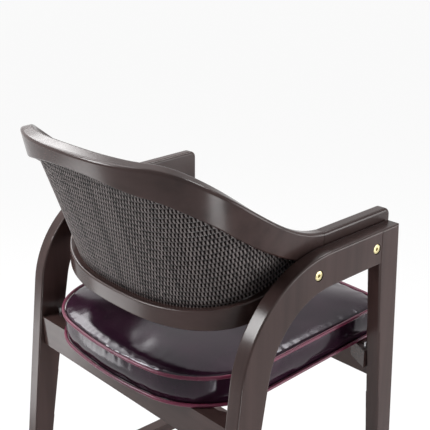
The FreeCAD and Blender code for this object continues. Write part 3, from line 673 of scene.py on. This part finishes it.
@dataclass
class WovenBack:
    """Plain weave of cane: narrow stakes that bend over and under broad, straighter weavers."""

    tones: tuple[float, float] = (0.0, 0.3)
    # How much painted highlight and painted shade each strand gets from how far it stands out of the weave.
    painted_proud_light: float = 0.7
    tuck: float = 4.0 * MM
    weld: float = 0.1 * MM
    sides: int = 6
    seed: int = 5

    def build(self) -> None:
        """Weave the panel flat, wrap it round the back and trim it to the rails."""
        surface = PanelSurface()
        weavers = self._weave(WEAVERS, STAKES.pitch, surface)
        stakes = self._weave(STAKES, WEAVERS.pitch, surface)
        hand_over(weavers, "wicker", "wicker_panel")
        hand_over(stakes, "wicker")

    def _weave(self, strands: Strands, crossing: float, surface: PanelSurface) -> Piece:
        """Repeat a pair of strands over a flat sheet and wrap the sheet round the panel.

        Args:
            strands: The set of strands.
            crossing: Distance between the strands that these cross.
            surface: The panel that they lie on.

        Returns:
            The woven piece, in place.
        """
        piece = self._strand_pair(strands, crossing)
        corners = np.concatenate([surface.flat_feet, surface.flat_heads])
        low = corners.min(axis=0) - self.tuck
        size = corners.max(axis=0) + self.tuck - low
        run, stack = (size[1], size[0]) if strands.upright else size
        for name, count, step in (
            ("along", run / (2 * crossing), (2 * crossing, 0.0, 0.0)),
            ("beside", stack / (2 * strands.pitch), (0.0, 2 * strands.pitch, 0.0)),
        ):
            repeat = piece.modifiers.new(name, "ARRAY")
            repeat.use_relative_offset = False
            repeat.use_constant_offset = True
            repeat.constant_offset_displace = step
            repeat.count = math.ceil(count) + 1
            repeat.use_merge_vertices = name == "along"
            repeat.merge_threshold = self.weld
        apply_modifiers(piece)
        flat = coordinates(piece.data)
        self._mark_strands(piece.data, flat, strands.pitch)
        if strands.upright:
            flat = flat[:, [1, 0, 2]]
        flat[:, :2] += low
        self._trim(piece, flat, surface)
        dress(piece, strands.finish.build())
        return piece

    def _strand_pair(self, strands: Strands, crossing: float) -> Piece:
        """Model two neighbouring strands over two crossings, drawn along X and out of step.

        Args:
            strands: The set of strands.
            crossing: Distance between crossings.

        Returns:
            The open-ended pair.
        """
        start_fresh()
        bpy.ops.mesh.primitive_circle_add(vertices=self.sides, radius=0.5, rotation=(0.0, math.pi / 2, 0.0))
        piece = bpy.context.object
        piece.name = strands.name
        bpy.ops.object.transform_apply(location=False, rotation=True, scale=False)
        piece.scale = (1.0, strands.width, strands.depth)
        piece.location = (0.0, 0.0, strands.wave)
        bpy.ops.object.transform_apply(location=True, rotation=False, scale=True)
        open_mesh()
        for dip in (-strands.wave, -strands.wave, strands.wave, strands.wave):
            bpy.ops.mesh.extrude_edges_move(TRANSFORM_OT_translate={"value": (crossing / 2, 0.0, dip)})
        bpy.ops.mesh.select_all(action="SELECT")
        bpy.ops.mesh.duplicate_move(TRANSFORM_OT_translate={"value": (-crossing, strands.pitch, 0.0)})
        bpy.ops.mesh.select_all(action="SELECT")
        bpy.ops.mesh.normals_make_consistent(inside=False)
        bpy.ops.object.mode_set(mode="OBJECT")
        bpy.ops.object.shade_smooth()
        return piece

    def _mark_strands(self, mesh: Mesh, flat: np.ndarray, spacing: float) -> None:
        """Give each strand its own random tone, plus a painted highlight where it stands out and painted
        shade where it lies deep in the weave, and lay a UV map along it.

        Args:
            mesh: The flat weave.
            flat: Its vertices.
            spacing: Distance between strands.
        """
        strand = np.rint(flat[:, 1] / spacing).astype(int)
        strand -= strand.min()
        drawn = np.random.default_rng(self.seed).uniform(*self.tones, strand.max() + 1)
        proud = np.abs(flat[:, 2]) / np.abs(flat[:, 2]).max() - 0.5
        tone = mesh.attributes.new(STRAND_TONE_AND_LIGHT, "FLOAT", "POINT")
        # Random tone per strand, plus painted highlight where the strand stands out and painted shade where
        # it lies deep.
        tone.data.foreach_set("value", drawn[strand] + self.painted_proud_light * proud)
        corners = np.empty(len(mesh.loops), dtype=np.int64)
        mesh.loops.foreach_get("vertex_index", corners)
        layer = mesh.uv_layers.new(name="strand")
        layer.data.foreach_set("uv", flat[corners][:, :2].astype(np.float32).ravel())

    def _trim(self, piece: Piece, flat: np.ndarray, surface: PanelSurface) -> None:
        """Wrap a flat weave round the panel and cut away what lies outside it.

        Args:
            piece: The weave.
            flat: Its vertices in the plane, with their distance out of it.
            surface: The panel.
        """
        rows, keep = surface.wrap(flat, self.tuck)
        piece.data.vertices.foreach_set("select", ~keep)
        for parts in (piece.data.edges, piece.data.polygons):
            parts.foreach_set("select", np.zeros(len(parts), dtype=bool))
        move_vertices(piece.data, rows)
        take(piece)
        bpy.ops.object.mode_set(mode="EDIT")
        bpy.ops.mesh.select_mode(type="VERT")
        bpy.ops.mesh.delete(type="VERT")
        bpy.ops.mesh.select_all(action="SELECT")
        bpy.ops.mesh.normals_make_consistent(inside=False)
        bpy.ops.object.mode_set(mode="OBJECT")


# The seat


@dataclass
class SeatCushion:
    """Leather box cushion with two piped seams, puffed by a cloth simulation."""

    rake_deg: float = 2.9
    boxing_height: float = 50.0 * MM
    piping_radius: float = 3.0 * MM
    cord_facets: int = 3
    seam_gap: float = 0.3 * MM
    seam_points: int = 240
    cast_below: float = 0.4 * MM
    cast_from: float = 0.6
    cover_thickness: float = 2.0 * MM
    hem: float = 9.0 * MM
    hem_layers: float = 1.9
    least_facing: float = 0.3
    voxel: float = 4.5 * MM
    weld: float = 0.01 * MM
    even_rounds: int = 3
    pressure: float = 9.0
    quality: int = 6
    frames: int = 20
    hold_radii: float = 2.4
    most_swell: float = 9.0 * MM
    most_sink: float = 0.5 * MM
    ease_rounds: int = 4
    pucker_depth: float = 1.0 * MM
    pucker_reach: float = 16.0 * MM
    pucker_length: float = 15.0 * MM
    pucker_shares: tuple[float, ...] = (0.6, 1.0, 1.7)
    pucker_swing: float = 0.4
    pucker_groups: int = 5
    seed: int = 11
    seat_frame: Matrix = field(init=False)
    middle: float = field(init=False)

    def __post_init__(self) -> None:
        """Set up the seat's own raked frame: its origin is under the front edge, on the rails."""
        low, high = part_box("seat_board")
        rake = math.radians(self.rake_deg)
        depth = high[1] - low[1]
        origin = Matrix.Translation((0.0, low[1], low[2] + depth * math.tan(rake)))
        self.seat_frame = origin @ Matrix.Rotation(-rake, 4, "X")
        self.middle = depth / 2

    def build(self) -> None:
        """Make the cushion and both pipings."""
        leather = SEAT_LEATHER.build()
        cord = CORD_LEATHER.build()
        seams = {
            "top_piping": self._seam(self.boxing_height),
            "bottom_piping": self._seam(self.piping_radius),
        }
        for node, points in seams.items():
            piece = self._piping(f"{node}_cord", points)
            dress(piece, cord)
            hand_over(piece, "piping", node)
        cushion = self._cushion(seams)
        dress(cushion, leather)
        hand_over(cushion, "leather", "seat_cover", "seat_foam")

    def _seam(self, height: float) -> list[Vector]:
        """Points along the middle of a piping, just outside the cover's seam.

        Args:
            height: Height of the piping's middle above the seat rails, square to the seat.

        Returns:
            A closed ring of points.
        """
        cover = surface_of("seat_cover")
        axis = self.seat_frame.to_3x3()
        out_by = self.piping_radius + self.seam_gap
        level = min(height, self.boxing_height - self.cast_below)
        points = []
        for index in range(self.seam_points):
            turn = 2 * math.pi * index / self.seam_points
            way = Vector((math.cos(turn), math.sin(turn), 0.0))
            start = self.seat_frame @ (Vector((0.0, self.middle, level)) + way * self.cast_from)
            hit, normal, _, _ = cover.ray_cast(start, -(axis @ way))
            local = self.seat_frame.inverted() @ hit
            facing = axis.inverted() @ normal
            facing.z = 0.0
            local += facing.normalized() * out_by
            local.z = height
            points.append(self.seat_frame @ local)
        return points

    def _piping(self, name: str, points: list[Vector]) -> Piece:
        """A leather-wrapped cord along a seam.

        Args:
            name: The piece's name.
            points: The ring that it follows.

        Returns:
            The cord as a mesh.
        """
        start_fresh()
        curve = bpy.data.curves.new(name, "CURVE")
        curve.dimensions = "3D"
        curve.bevel_depth = self.piping_radius
        curve.bevel_resolution = self.cord_facets
        spline = curve.splines.new("POLY")
        spline.points.add(len(points) - 1)
        for place, point in zip(spline.points, points):
            place.co = (*point, 1.0)
        spline.use_cyclic_u = True
        take(bring_in(name, curve))
        bpy.ops.object.convert(target="MESH")
        piece = bpy.context.object
        bpy.ops.object.shade_smooth()
        return piece

    def _cushion(self, seams: dict[str, list[Vector]]) -> Piece:
        """The padded body, from its foam and board.

        Args:
            seams: The seams' rings, which hold the leather down.

        Returns:
            The cushion.
        """
        piece = self._blank()
        self._puff(piece, seams)
        self._pucker(piece, seams["top_piping"])
        smooth = piece.modifiers.new("smooth", "SUBSURF")
        smooth.levels = smooth.render_levels = 1
        apply_modifiers(piece)
        bpy.ops.object.shade_smooth()
        return piece

    def _blank(self) -> Piece:
        """One closed body from copies of the foam and the board, remeshed evenly.

        Returns:
            The body, covered in leather but not yet puffed.
        """
        nodes = [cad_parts[name] for name in ("seat_foam", "seat_board")]
        copies = [bring_in("seat_cushion", node.data.copy()) for node in nodes]
        take(copies[0])
        copies[1].select_set(True)
        bpy.ops.object.join()
        piece = bpy.context.object
        open_mesh()
        bpy.ops.mesh.remove_doubles(threshold=self.weld)
        bpy.ops.object.mode_set(mode="OBJECT")
        piece.data.remesh_voxel_size = self.voxel
        bpy.ops.object.voxel_remesh()
        even = piece.modifiers.new("even", "SMOOTH")
        even.iterations = self.even_rounds
        apply_modifiers(piece)
        self._cover(piece)
        return piece

    def _heights(self, rows: np.ndarray) -> np.ndarray:
        """Heights of vertices above the seat rails, square to the seat."""
        return (np.c_[rows, np.ones(len(rows))] @ np.array(self.seat_frame.inverted()).T)[:, 2]

    def _cover(self, piece: Piece) -> None:
        """Lay the leather's thickness over the foam and the board's edge, but not under the seat.

        Args:
            piece: The body.
        """
        ways = facings(piece.data)
        ways[:, 2] = np.maximum(ways[:, 2], 0.0)
        length = np.linalg.norm(ways, axis=1)
        rows = coordinates(piece.data)
        layers = np.where(self._heights(rows) < self.hem, self.hem_layers, 1.0)
        reach = layers * self.cover_thickness / np.maximum(length, self.least_facing)
        ways *= np.where(length > self.least_facing, reach, 0.0)[:, None]
        move_vertices(piece.data, rows + ways)

    def _puff(self, piece: Piece, seams: dict[str, list[Vector]]) -> None:
        """Swell the leather between its seams with a cloth simulation, within a limit.

        Args:
            piece: The remeshed cushion.
            seams: The seams' rings.
        """
        rest = coordinates(piece.data)
        normals = facings(piece.data)
        both = search_tree([point for ring in seams.values() for point in ring])
        distances = np.array([both.find(Vector(row))[2] for row in rest])
        sewn = distances < self.hold_radii * self.piping_radius
        held = sewn | (self._heights(rest) < 2 * self.piping_radius)
        group = piece.vertex_groups.new(name="seams")
        group.add([int(i) for i in np.flatnonzero(held)], 1.0, "REPLACE")
        cloth = piece.modifiers.new("puff", "CLOTH")
        cloth.settings.use_pressure = True
        cloth.settings.uniform_pressure_force = self.pressure
        cloth.settings.effector_weights.gravity = 0.0
        cloth.settings.vertex_group_mass = group.name
        cloth.settings.quality = self.quality
        cloth.point_cache.frame_end = self.frames
        scene = bpy.context.scene
        for step in range(1, self.frames + 1):
            scene.frame_set(step)
        apply_modifiers(piece)
        scene.frame_set(1)
        moved = coordinates(piece.data) - rest
        sunk = np.minimum((moved * normals).sum(axis=1) + self.most_sink, 0.0)
        moved -= normals * sunk[:, None]
        length = np.linalg.norm(moved, axis=1)
        limit = np.minimum(1.0, self.most_swell / np.maximum(length, 1e-9))
        move_vertices(piece.data, rest + moved * limit[:, None])
        ease = piece.modifiers.new("ease", "SMOOTH")
        ease.iterations = self.ease_rounds
        ease.vertex_group = group.name
        ease.invert_vertex_group = True
        apply_modifiers(piece)

    def _pucker(self, piece: Piece, ring: list[Vector]) -> None:
        """Gather the top leather in small folds square to its seam.

        Args:
            piece: The cushion.
            ring: The top seam's points.
        """
        rows = coordinates(piece.data)
        normals = facings(piece.data)
        seam = search_tree(ring)
        total = sum((ring[i] - ring[i - 1]).length for i in range(len(ring)))
        draws = np.random.default_rng(self.seed)
        waves = [
            (round(total / self.pucker_length * share), draws.uniform(0, 2 * math.pi))
            for share in self.pucker_shares
        ]
        for index, row in enumerate(rows):
            _, near, gap = seam.find(Vector(row))
            if gap > 2 * self.pucker_reach:
                continue
            turn = 2 * math.pi * near / len(ring)
            fold = sum(math.sin(count * turn + phase) for count, phase in waves) / len(waves)
            gather = 1.0 - self.pucker_swing
            gather += self.pucker_swing * math.sin(self.pucker_groups * turn + waves[0][1])
            fade = math.exp(-((gap / self.pucker_reach) ** 2)) * gather
            rows[index] += normals[index] * fold * fade * self.pucker_depth
        move_vertices(piece.data, rows)


# Bolts


@dataclass
class ArmBolts:
    """Brass connector bolts: a chamfered head with a hex socket, and a plain shank."""

    head_radius: float = 7.8 * MM
    head_height: float = 3.0 * MM
    chamfer: float = 0.7 * MM
    knee: tuple[float, float] = (0.4, 0.3)
    socket_radius: float = 3.0 * MM
    socket_rim: float = 1.25
    socket_depth: float = 2.2 * MM
    shank_radius: float = 3.0 * MM
    rim_points: int = 48
    weld: float = 0.001 * MM
    crease_deg: float = 35.0
    length: float = field(init=False)

    def build(self) -> None:
        """Model one bolt, then a copy in each hole."""
        places = self._places()
        bolt = self._bolt()
        copies = []
        for place in places:
            copy = bring_in(bolt.name, bolt.data.copy())
            copy.matrix_world = place
            copies.append(copy)
        bpy.data.objects.remove(bolt)
        take(copies[0])
        for copy in copies:
            copy.select_set(True)
        bpy.ops.object.join()
        piece = bpy.context.object
        piece.name = "brass_arm_bolts"
        bpy.ops.object.transform_apply(location=True, rotation=True, scale=True)
        dress(piece, BRASS.build())
        hand_over(piece, "brass", "arm_bolts")

    def _places(self) -> list[Matrix]:
        """Where the bolts' head faces lie, read from the CAD bolts.

        Returns:
            One placement for each bolt.
        """
        rows = coordinates(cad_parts["arm_bolts"].data)
        places = []
        for side in (-1, 1):
            mine = rows[rows[:, 0] * side > 0]
            split = (mine[:, 1].min() + mine[:, 1].max()) / 2
            for half in (mine[mine[:, 1] < split], mine[mine[:, 1] >= split]):
                face = half[:, 0].max() if side > 0 else half[:, 0].min()
                centre = (half.min(axis=0) + half.max(axis=0)) / 2
                turn = Matrix.Rotation(side * math.pi / 2, 4, "Y")
                places.append(Matrix.Translation((face, centre[1], centre[2])) @ turn)
        self.length = float(np.ptp(rows[rows[:, 0] > 0][:, 0]))
        return places

    def _bolt(self) -> Piece:
        """One bolt, drawn along Z with its head's face at the origin.

        Returns:
            The bolt.
        """
        start_fresh()
        bpy.ops.mesh.primitive_circle_add(
            vertices=self.rim_points, radius=self.shank_radius, location=(0, 0, -self.length)
        )
        piece = bpy.context.object
        bpy.ops.object.transform_apply(location=True)
        open_mesh()
        bpy.ops.mesh.edge_face_add()
        bpy.ops.mesh.select_all(action="SELECT")
        profile = [
            (self.shank_radius, -self.head_height),
            (self.head_radius, -self.head_height),
            (self.head_radius, -self.chamfer),
            (self.head_radius - self.chamfer * self.knee[0], -self.chamfer * self.knee[1]),
            (self.head_radius - self.chamfer, 0.0),
            (self.socket_radius * self.socket_rim, 0.0),
        ]
        radius, height = self.shank_radius, -self.length
        for next_radius, next_height in profile:
            grow = next_radius / radius
            bpy.ops.mesh.extrude_region_move(TRANSFORM_OT_translate={"value": (0, 0, next_height - height)})
            bpy.ops.transform.resize(value=(grow, grow, 1.0), center_override=(0, 0, next_height))
            radius, height = next_radius, next_height
        bpy.ops.mesh.delete(type="ONLY_FACE")
        self._socket()
        bpy.ops.mesh.select_all(action="SELECT")
        bpy.ops.mesh.remove_doubles(threshold=self.weld)
        bpy.ops.mesh.normals_make_consistent(inside=False)
        bpy.ops.object.mode_set(mode="OBJECT")
        bpy.ops.object.shade_smooth_by_angle(angle=math.radians(self.crease_deg))
        return piece

    def _socket(self) -> None:
        """Bridge the head's inner ring to a hexagon and sink it."""
        bpy.ops.mesh.primitive_circle_add(vertices=6, radius=self.socket_radius, fill_type="NOTHING")
        bpy.ops.mesh.extrude_edges_move(TRANSFORM_OT_translate={"value": (0, 0, -self.socket_depth)})
        bpy.ops.mesh.edge_face_add()
        bpy.ops.mesh.select_all(action="SELECT")
        bpy.ops.mesh.select_non_manifold(
            extend=False, use_wire=False, use_multi_face=False, use_non_contiguous=False
        )
        bpy.ops.mesh.bridge_edge_loops()


# Finishes on the pieces that keep their CAD shape


@dataclass(frozen=True)
class Joinery:
    """The finish of each CAD node that shows as it was built, by the start of its name."""

    upright: tuple[str, ...] = ("rear_leg", "front_leg")
    lengthwise: tuple[str, ...] = ("arm_left", "arm_right", "side_stretcher")
    across: tuple[str, ...] = (
        "crest_rail", "lower_back_rail", "rear_seat_rail", "front_seat_rail", "front_footrest", "corner_block"
    )
    dowels: tuple[str, ...] = (
        "frame_dowels", "arm_dowels", "seat_rail_dowels", "stretcher_dowels", "footrest_dowels"
    )

    def build(self) -> None:
        """Dress every CAD node by its name."""
        finishes = {
            self.upright: Lacquer().build(Grain.UPRIGHT),
            self.lengthwise: Lacquer().build(Grain.LENGTHWISE),
            self.across: Lacquer().build(Grain.ACROSS),
            self.dowels: BEECH.build(),
            ("bolt_inserts", "seat_screws"): STEEL.build(),
            ("seat_board",): PLYWOOD.build(),
            ("seat_foam",): FOAM.build(),
            ("foot_glide",): NYLON.build(),
        }
        for node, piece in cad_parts.items():
            for starts, material in finishes.items():
                if node.startswith(starts):
                    dress(piece, material)


# Studio


@dataclass(frozen=True)
class Softbox:
    """A rectangular lamp: its place, what it is aimed at, its two sides and its power in watts."""

    name: str
    place: Point
    aim: Point
    sides: tuple[float, float]
    power: float


SOFTBOXES = (
    Softbox("left_back", (1.15, 1.46, 1.88), (0.0, 0.1, 0.85), (0.55, 0.75), 36.0),
    Softbox("high_left", (1.2, 0.5, 2.2), (0.0, 0.1, 0.78), (0.9, 1.1), 15.0),
    Softbox("left_low", (1.1, 0.95, 0.1), (0.0, 0.15, 0.85), (0.6, 0.5), 3.5),
    Softbox("high_front", (-0.15, -1.05, 2.4), (0.0, 0.0, 0.78), (0.8, 0.35), 12.0),
    Softbox("right_front", (-2.3, -1.6, 1.0), (0.0, 0.0, 0.7), (1.6, 1.6), 55.0),
    Softbox("floor_strip", (-1.25, 0.62, 0.08), (-0.22, 0.16, 1.0), (0.3, 0.6), 8.0),
    Softbox("left_side", (1.95, -0.15, 2.1), (0.1, 0.15, 0.85), (1.0, 0.6), 14.0),
)


@dataclass
class Studio:
    """Plain white set: floor, soft lamps and the camera."""

    camera_place: Point = (-1.0241, 0.8875, 1.3721)
    heading_deg: float = 47.767
    pitch_deg: float = 18.683
    roll_deg: float = 0.364
    focal_px: float = 850.9
    picture_px: float = 430.0
    sensor_mm: float = 36.0
    floor_size: float = 30.0
    floor_tone: float = 0.92
    floor_glow: float = 1.05
    floor_share: float = 0.88
    ambient: float = 0.1
    key_place: Point = (1.9, -0.5, 3.3)
    key_strength: float = 0.3
    key_spread_deg: float = 56.0

    def build(self) -> None:
        """Set the floor, the world, the lamps, the camera and the colour transform."""
        self._floor()
        self._world()
        self._lamps()
        self._camera()
        bpy.context.scene.view_settings.view_transform = "Standard"

    @staticmethod
    def _seen(tree: bpy.types.NodeTree) -> Socket:
        """Whether a ray comes from the camera, a reflection or a clear material.

        Args:
            tree: The nodes of the floor or the world.

        Returns:
            One for such a ray, and nought for any other.
        """
        path = tree.nodes.new("ShaderNodeLightPath")
        total = path.outputs["Is Camera Ray"]
        for name in ("Is Glossy Ray", "Is Transmission Ray"):
            either = tree.nodes.new("ShaderNodeMath")
            either.operation = "MAXIMUM"
            tree.links.new(total, either.inputs[0])
            tree.links.new(path.outputs[name], either.inputs[1])
            total = either.outputs["Value"]
        return total

    def _floor(self) -> None:
        """A pale floor that keeps a soft shadow."""
        start_fresh()
        bpy.ops.mesh.primitive_plane_add(size=self.floor_size, location=(0.0, 0.0, 0.0))
        floor = bpy.context.object
        floor.name = "floor"
        recipe = Recipe("pale_floor")
        recipe.set(Base_Color=(self.floor_tone, self.floor_tone, self.floor_tone), Roughness=0.9)
        glow = recipe.node("Emission", Color=(1.0, 1.0, 1.0, 1.0), Strength=self.floor_glow)
        share = recipe.node("Math")
        share.operation = "MULTIPLY"
        share.inputs[1].default_value = self.floor_share
        mix = recipe.node("MixShader", Fac=share.outputs["Value"])
        for source, target in (
            (self._seen(recipe.tree), share.inputs[0]),
            (recipe.shader.outputs["BSDF"], mix.inputs[1]),
            (glow.outputs["Emission"], mix.inputs[2]),
            (mix.outputs["Shader"], recipe.output.inputs["Surface"]),
        ):
            recipe.tree.links.new(source, target)
        dress(floor, recipe.material)

    def _world(self) -> None:
        """White where it is seen or reflected, and dimmer as a light."""
        world = bpy.data.worlds.new("studio")
        bpy.context.scene.world = world
        world.use_nodes = True
        tree = world.node_tree
        background = tree.nodes["Background"]
        strength = tree.nodes.new("ShaderNodeMapRange")
        tree.links.new(self._seen(tree), strength.inputs["Value"])
        strength.inputs["To Min"].default_value = self.ambient
        strength.inputs["To Max"].default_value = 1.0
        tree.links.new(strength.outputs["Result"], background.inputs["Strength"])
        background.inputs["Color"].default_value = (1.0, 1.0, 1.0, 1.0)

    def _lamps(self) -> None:
        """A faint broad sun, and softboxes where the photograph's highlights come from."""
        key = bpy.data.lights.new("key", "SUN")
        key.energy = self.key_strength
        key.angle = math.radians(self.key_spread_deg)
        self._hang(key, self.key_place, (0.0, 0.0, 0.0))
        for box in SOFTBOXES:
            lamp = bpy.data.lights.new(box.name, "AREA")
            lamp.shape = "RECTANGLE"
            lamp.size, lamp.size_y = box.sides
            lamp.energy = box.power
            self._hang(lamp, box.place, box.aim)

    @staticmethod
    def _hang(lamp: bpy.types.Light, place: Point, aim: Point) -> None:
        """Put a lamp in the studio, unseen by the camera.

        Args:
            lamp: The lamp.
            place: Where it hangs.
            aim: The point that it shines at.
        """
        piece = bring_in(lamp.name, lamp)
        piece.location = place
        piece.rotation_euler = (Vector(aim) - piece.location).to_track_quat("-Z", "Y").to_euler()
        piece.visible_camera = False

    def _camera(self) -> None:
        """The photograph's camera, high behind the chair's right arm."""
        heading, pitch, roll = (math.radians(v) for v in (self.heading_deg, self.pitch_deg, self.roll_deg))
        flat = math.cos(pitch)
        back = Vector((-math.sin(heading) * flat, math.cos(heading) * flat, math.sin(pitch)))
        level = Vector((-math.cos(heading), -math.sin(heading), 0.0))
        upward = back.cross(level)
        right = level * math.cos(roll) + upward * math.sin(roll)
        top = upward * math.cos(roll) - level * math.sin(roll)
        lens = bpy.data.cameras.new("camera")
        lens.sensor_width = self.sensor_mm
        lens.lens = self.focal_px / self.picture_px * self.sensor_mm
        camera = bring_in("camera", lens)
        turn = Matrix((right, top, back)).transposed().to_4x4()
        camera.matrix_world = Matrix.Translation(self.camera_place) @ turn
        bpy.context.scene.camera = camera


def main() -> None:
    """Dress the joinery, model the soft and woven pieces, and set the studio."""
    logging.basicConfig(level=logging.INFO, format="%(name)s %(message)s")
    for part in (Joinery(), WovenBack(), SeatCushion(), ArmBolts(), Studio()):
        part.build()
        LOG.info("%s done", type(part).__name__)


if __name__ == "__main__":
    main()
